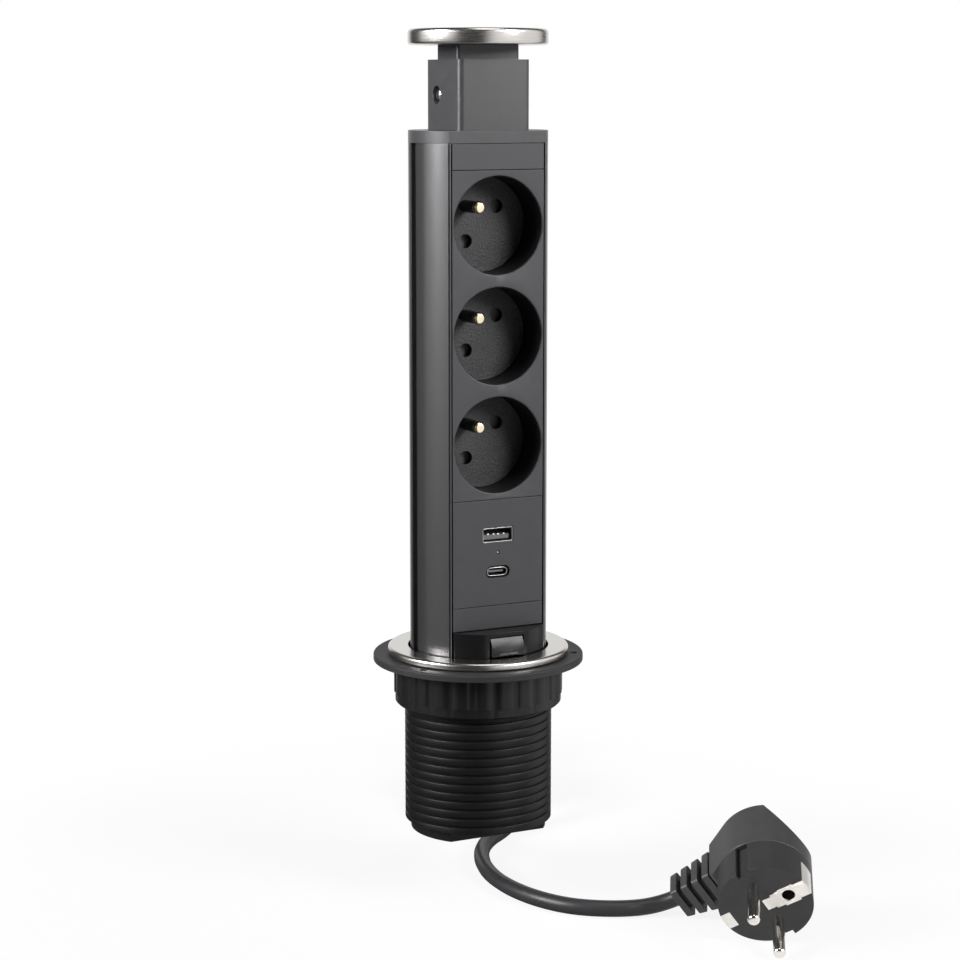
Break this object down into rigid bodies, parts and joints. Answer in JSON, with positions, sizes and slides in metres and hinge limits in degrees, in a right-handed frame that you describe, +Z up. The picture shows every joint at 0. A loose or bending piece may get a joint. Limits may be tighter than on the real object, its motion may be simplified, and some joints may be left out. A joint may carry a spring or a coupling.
{
  "type": "pop up desk socket",
  "caption": "Column with earthed outlets and chargers that slides up out of a worktop, with a steel lid and ring, a threaded clamp, and a mains lead with an angled plug.",
  "frame": {"origin": "on the column's axis at the underside of the trim ring, where it rests on the worktop", "axes": "+Z up along the column, -Y to the front with the outlets, +X to the right seen from the front"},
  "size_m": [0.1608, 0.3391, 0.3482],
  "materials": {
    "brushed_steel": "circular brushed stainless steel",
    "black_anodised": "fine satin black anodising",
    "charcoal_plastic": "fine spark texture",
    "black_plastic": "satin moulded",
    "insert_plastic": "fine satin",
    "shutter_plastic": "satin moulded",
    "tongue_plastic": "moulded",
    "brass": "bright",
    "nickel": "nickel plated",
    "steel": "zinc plated",
    "cord_sheath": "satin extruded sheath",
    "plug_moulding": "soft moulded",
    "tie_film": "film",
    "led_lens": "clear lens",
    "circuit_board": "solder mask"
  },
  "bodies": {
    "collar": {"trim_ring": "brushed_steel", "threaded_tube": "black_plastic"},
    "clamp_flange": {"clamp_flange": "black_plastic"},
    "clamp_nut": {"clamp_nut": "black_plastic"},
    "latch": {"latch_button": "charcoal_plastic"},
    "push_lid": {"lid_disc": "brushed_steel", "lid_neck": "black_plastic"},
    "shutter_1": {"shutter_1": "shutter_plastic"},
    "shutter_2": {"shutter_2": "shutter_plastic"},
    "shutter_3": {"shutter_3": "shutter_plastic"},
    "column": {"bottom_cap": "charcoal_plastic", "cable_clamp": "black_plastic", "column_profile": "black_anodised", "cord_relief": "plug_moulding", "earth_bar": "brass", "earth_clip_1": "nickel", "earth_clip_2": "nickel", "earth_pin_1": "brass", "earth_pin_2": "brass", "earth_pin_3": "brass", "earth_sleeve": "nickel", "front_foot": "charcoal_plastic", "guide_screw": "steel", "hank": "cord_sheath", "hank_tie": "tie_film", "head_housing": "charcoal_plastic", "head_screws": "steel", "inner_lead": "cord_sheath", "latch_pin": "steel", "latch_spring": "steel", "lead": "cord_sheath", "lid_spring": "steel", "line_bar": "brass", "lower_blank_panel": "charcoal_plastic", "neutral_bar": "brass", "outlet_insert_1": "insert_plastic", "outlet_insert_2": "insert_plastic", "outlet_insert_3": "insert_plastic", "outlet_panel": "charcoal_plastic", "plug_face": "plug_moulding", "plug_hood": "plug_moulding", "plug_pin_1": "nickel", "plug_pin_2": "nickel", "plug_relief": "plug_moulding", "status_led": "led_lens", "tail": "cord_sheath", "terminal_block": "black_plastic", "top_blank_panel": "charcoal_plastic", "top_cap": "charcoal_plastic", "usb_a_shell": "nickel", "usb_a_tongue": "tongue_plastic", "usb_board": "circuit_board", "usb_box": "black_plastic", "usb_c_shell": "nickel", "usb_c_tongue": "tongue_plastic", "usb_panel": "charcoal_plastic"}
  },
  "joints": [
    {"name": "column_slide", "type": "slide", "parent": "collar", "child": "column", "axis": [0, 0, 1], "range_m": [-0.2453, 0]},
    {"name": "flange_slide", "type": "slide", "parent": "collar", "child": "clamp_flange", "axis": [0, 0, 1], "range_m": [-0.04, 0]},
    {"name": "nut_turn", "type": "hinge", "parent": "clamp_flange", "child": "clamp_nut", "pos_m": [0, 0, 0], "axis": [0, 0, 1], "range_deg": [-4057, 0]},
    {"name": "latch_turn", "type": "hinge", "parent": "column", "child": "latch", "pos_m": [0, -0.0237, 0.0095], "axis": [1, 0, 0], "range_deg": [0, 14], "stiffness_Nm_per_rad": 0.02, "springref_deg": -22.92},
    {"name": "lid_press", "type": "slide", "parent": "column", "child": "push_lid", "axis": [0, 0, 1], "range_m": [-0.0052, 0], "stiffness_N_per_m": 400, "springref_m": 0.01, "deforming": ["lid_spring"]},
    {"name": "shutter_1_slide", "type": "slide", "parent": "column", "child": "shutter_1", "axis": [0.7071, 0, -0.7071], "range_m": [0, 0.006], "stiffness_N_per_m": 60, "springref_m": -0.006},
    {"name": "shutter_2_slide", "type": "slide", "parent": "column", "child": "shutter_2", "axis": [0.7071, 0, -0.7071], "range_m": [0, 0.006], "stiffness_N_per_m": 60, "springref_m": -0.006},
    {"name": "shutter_3_slide", "type": "slide", "parent": "column", "child": "shutter_3", "axis": [0.7071, 0, -0.7071], "range_m": [0, 0.006], "stiffness_N_per_m": 60, "springref_m": -0.006}
  ],
  "couplings": [
    {"joint": "nut_turn", "follows": "flange_slide", "rad_per_m": 1769.9}
  ]
}
